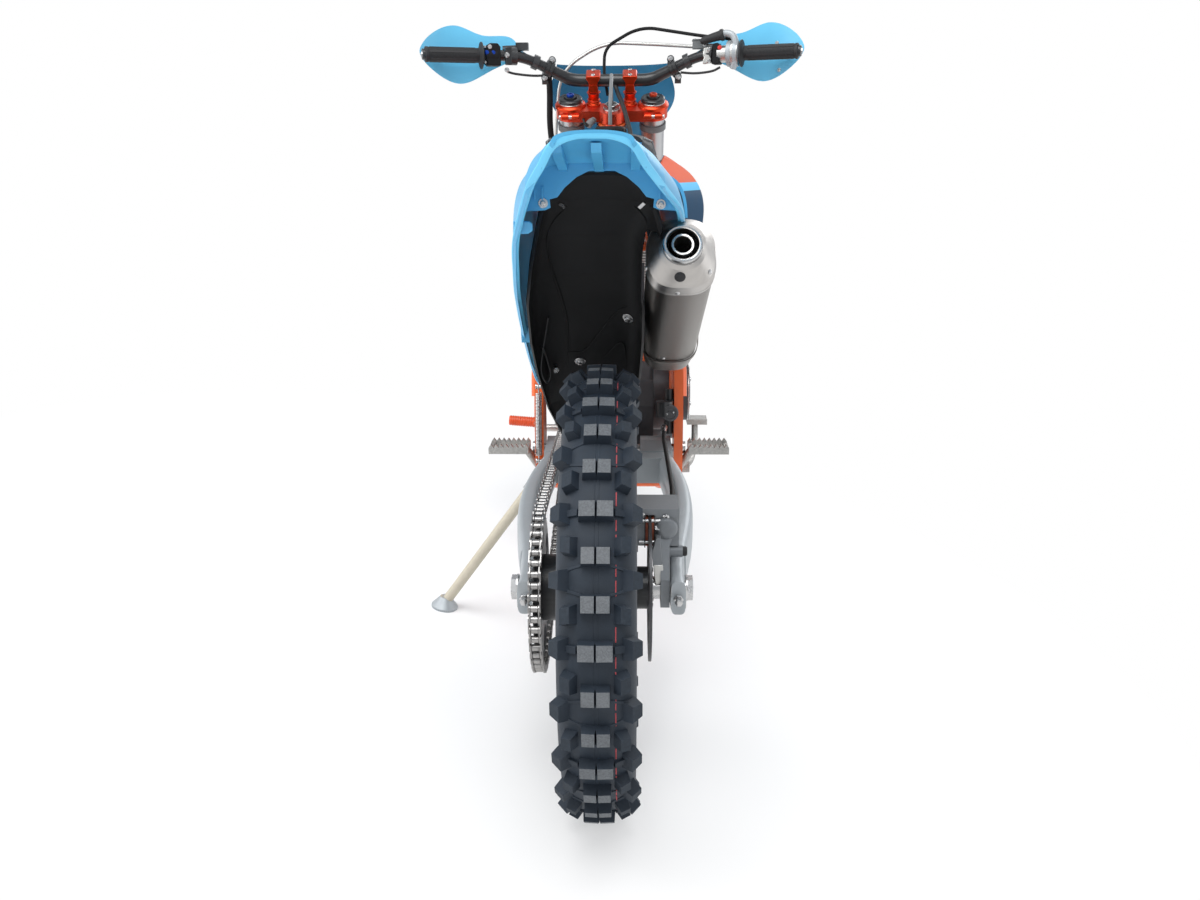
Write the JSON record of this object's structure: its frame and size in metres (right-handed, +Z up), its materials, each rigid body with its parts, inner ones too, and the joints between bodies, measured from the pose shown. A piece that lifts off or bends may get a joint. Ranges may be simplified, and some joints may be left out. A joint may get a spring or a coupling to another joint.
{
  "type": "enduro dirt bike",
  "caption": "Off-road motorcycle leaning on its side stand, with steered fork, free wheels, spoked rims, chain drive, silencer and hand guards.",
  "frame": {"origin": "middle of the bounding box, on the ground", "axes": "+X to the rider's right, +Y forward, +Z up; the bike leans to its left, towards -X"},
  "size_m": [0.8352, 2.167, 1.3059],
  "materials": {
    "orange_frame": "satin orange paint",
    "blue_plastic": "satin light blue moulded plastic",
    "orange_plastic": "satin orange moulded plastic",
    "black_plastic": "matt black moulded plastic",
    "tyre_rubber": "dusty knobbly tyre rubber",
    "grip_rubber": "black ribbed rubber",
    "seat_cover": "black grained seat cover",
    "black_metal": "black anodised aluminium",
    "orange_anodised": "orange anodised aluminium",
    "grey_aluminium": "bead blasted grey aluminium",
    "bright_aluminium": "bare cast aluminium",
    "engine_metal": "dark grey cast aluminium",
    "steel": "brushed steel",
    "silencer_metal": "brushed steel, heat toned",
    "chain_steel": "oiled steel"
  },
  "bodies": {
    "chassis": {"frame": "orange_frame", "subframe": "grey_aluminium", "engine": "engine_metal", "engine_covers": "engine_metal", "exhaust_header": "silencer_metal", "silencer": "silencer_metal", "swingarm": "grey_aluminium", "pivot_bolt": "steel", "rear_shock": "steel", "fuel_tank": "black_plastic", "seat": "seat_cover", "rear_fender": "blue_plastic", "side_panels": "blue_plastic", "inner_fender": "black_plastic", "radiators": "bright_aluminium", "radiator_shrouds": "orange_plastic", "chain": "chain_steel", "footpegs": "steel", "shift_lever": "bright_aluminium", "brake_pedal": "bright_aluminium", "rear_caliper": "grey_aluminium", "rear_axle": "steel", "airbox": "black_plastic", "stand_bracket": "steel", "tank_breather": "black_plastic", "rear_brake_hose": "black_plastic", "master_cylinder": "black_metal"},
    "steering": {"triple_clamps": "orange_anodised", "fork_outer_tubes": "grey_aluminium", "fork_stanchions": "steel", "fork_feet": "grey_aluminium", "front_axle": "steel", "handlebar": "black_metal", "bar_mounts": "orange_anodised", "grips": "grip_rubber", "hand_guards": "blue_plastic", "front_fender": "blue_plastic", "headlight_mask": "blue_plastic", "brake_lever": "black_metal", "clutch_lever": "black_metal", "throttle": "bright_aluminium", "bar_switch": "black_plastic", "throttle_cable": "black_plastic", "front_brake_hose": "bright_aluminium", "cable_sleeve": "black_plastic", "front_caliper": "grey_aluminium"},
    "front_wheel": {"front_tyre": "tyre_rubber", "front_rim": "black_metal", "front_hub": "black_metal", "front_spokes": "steel", "front_disc": "steel"},
    "rear_wheel": {"rear_tyre": "tyre_rubber", "rear_rim": "black_metal", "rear_hub": "black_metal", "rear_spokes": "steel", "rear_disc": "steel", "rear_sprocket": "black_metal"},
    "side_stand": {"side_stand": "bright_aluminium"}
  },
  "joints": [
    {"name": "steering_head", "type": "hinge", "parent": "chassis", "child": "steering", "pos_m": [0.04137, 0.35268, 0.96634], "axis": [-0.1708, -0.4462, 0.8785], "range_deg": [-42, 42]},
    {"name": "front_wheel_spin", "type": "hinge", "parent": "steering", "child": "front_wheel", "pos_m": [0.16221, 0.7355, 0.34466], "axis": [0.9816, 0, 0.1908], "continuous": true},
    {"name": "rear_wheel_spin", "type": "hinge", "parent": "chassis", "child": "rear_wheel", "pos_m": [0.1642, -0.7465, 0.33443], "axis": [0.9816, 0, 0.1908], "continuous": true},
    {"name": "side_stand_pivot", "type": "hinge", "parent": "chassis", "child": "side_stand", "pos_m": [0.01515, -0.2645, 0.30985], "axis": [-0.8981, 0.1412, 0.4165], "range_deg": [0, 95]}
  ]
}
